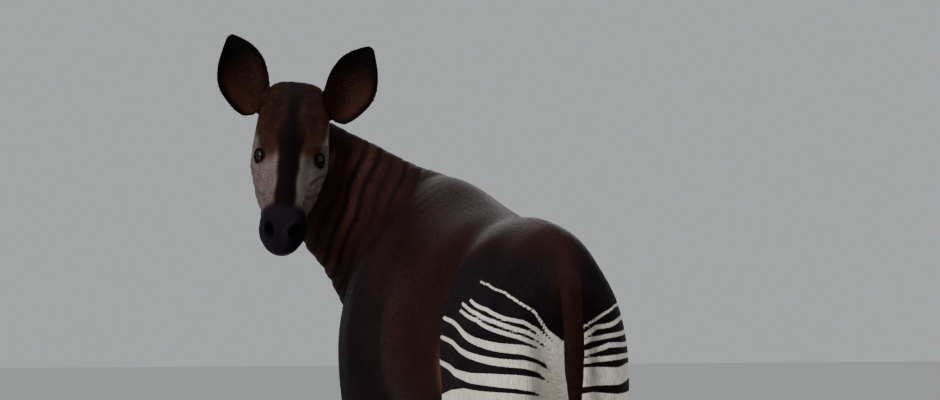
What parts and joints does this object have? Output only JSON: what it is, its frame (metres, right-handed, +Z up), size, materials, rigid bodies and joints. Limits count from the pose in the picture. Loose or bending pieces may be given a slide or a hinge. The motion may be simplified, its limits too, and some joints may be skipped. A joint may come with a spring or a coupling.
{
  "type": "okapi figure",
  "caption": "Life-size still figure of an okapi standing on all fours, neck bent left and head turned back to look past its rump.",
  "frame": {"origin": "on the floor, under the middle of the model's bounding box", "axes": "+Z up; +Y forward along the trunk, from the rump to the shoulders; +X to the animal's right"},
  "size_m": [0.752, 1.512, 1.8809],
  "materials": {
    "body_coat": "short glossy fur",
    "face_coat": "short fur",
    "leg_coat": "short banded fur",
    "ear_coat": "fine fur",
    "tuft_hair": "coarse hair",
    "hoof_horn": "satin horn",
    "eyeball": "wet gloss"
  },
  "bodies": {
    "root": {"head": "face_coat", "tail_tuft": "tuft_hair", "tail": "body_coat", "leg_hind_left": "leg_coat", "leg_hind_right": "leg_coat", "leg_fore_left": "leg_coat", "leg_fore_right": "leg_coat", "neck": "body_coat", "torso": "body_coat", "eye_left": "eyeball", "ear_left": "ear_coat", "eye_right": "eyeball", "ear_right": "ear_coat", "hoof_hind_left_left": "hoof_horn", "hoof_hind_left_right": "hoof_horn", "hoof_hind_right_left": "hoof_horn", "hoof_hind_right_right": "hoof_horn", "hoof_fore_left_left": "hoof_horn", "hoof_fore_left_right": "hoof_horn", "hoof_fore_right_left": "hoof_horn", "hoof_fore_right_right": "hoof_horn"}
  },
  "joints": []
}
